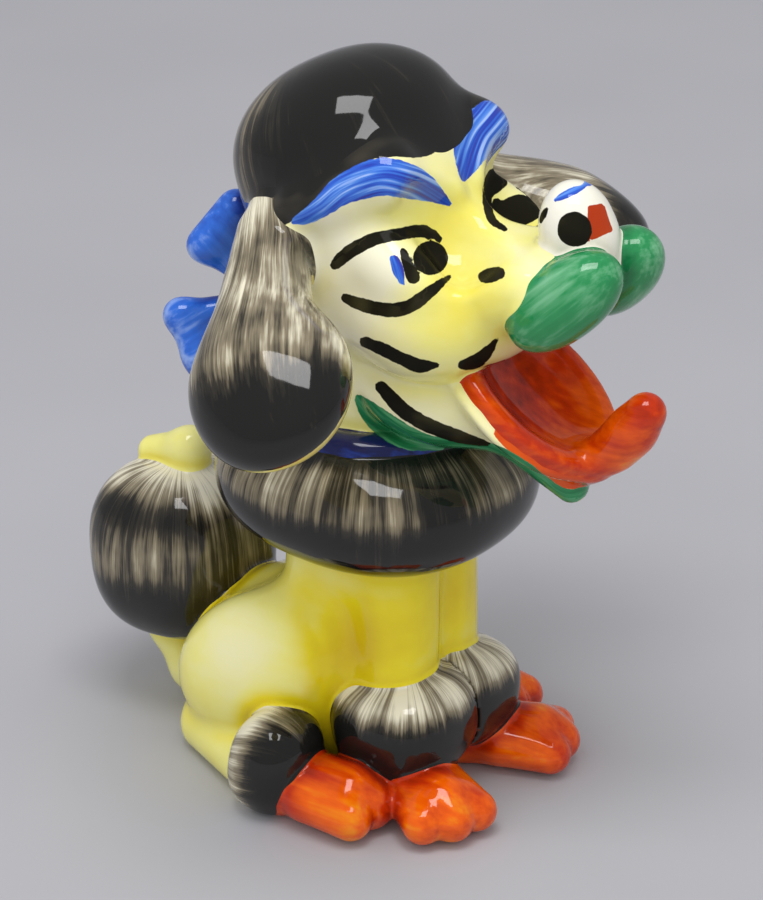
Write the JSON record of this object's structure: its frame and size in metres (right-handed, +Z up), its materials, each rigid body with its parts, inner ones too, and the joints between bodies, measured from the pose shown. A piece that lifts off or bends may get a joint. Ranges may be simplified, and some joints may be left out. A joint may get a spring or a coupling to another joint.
{
  "type": "poodle figurine",
  "caption": "Seated glazed ceramic poodle figurine with an open mouth, curled tongue, drop ears, round mane, leg cuffs and pompom tail; a free-standing ornament.",
  "frame": {"origin": "on the ground plane, on the flat underside of the body below the neck", "axes": "+Z up, the dog looks along -Y and its left side is +X; the figure is symmetric about X = 0"},
  "size_m": [0.164, 0.168, 0.1921],
  "materials": {
    "yellow_glaze": "glossy clear glaze over yellow wash",
    "black_glaze": "glossy brushed black glaze over cream",
    "orange_glaze": "glossy orange-red glaze",
    "white_glaze": "glossy clear glaze over white with painted marks",
    "green_glaze": "glossy green glaze",
    "blue_glaze": "glossy cobalt blue glaze"
  },
  "bodies": {
    "root": {"body": "yellow_glaze", "mane": "black_glaze", "head": "yellow_glaze", "tongue": "orange_glaze", "lower_jaw": "yellow_glaze", "topknot": "black_glaze", "front_paw_left": "orange_glaze", "front_paw_right": "orange_glaze", "hind_paw_left": "orange_glaze", "hind_paw_right": "orange_glaze", "front_cuff_left": "black_glaze", "front_cuff_right": "black_glaze", "hind_cuff_left": "black_glaze", "hind_cuff_right": "black_glaze", "tail_stem": "yellow_glaze", "tail_pompom": "black_glaze", "tail_tip": "yellow_glaze", "ear_left": "black_glaze", "ear_right": "black_glaze", "nose": "white_glaze", "lip_left": "green_glaze", "lip_right": "green_glaze", "collar": "blue_glaze", "bow_knot": "blue_glaze", "bow_loop_left": "blue_glaze", "bow_loop_right": "blue_glaze", "bow_tail_left": "blue_glaze", "bow_tail_right": "blue_glaze"}
  },
  "joints": []
}
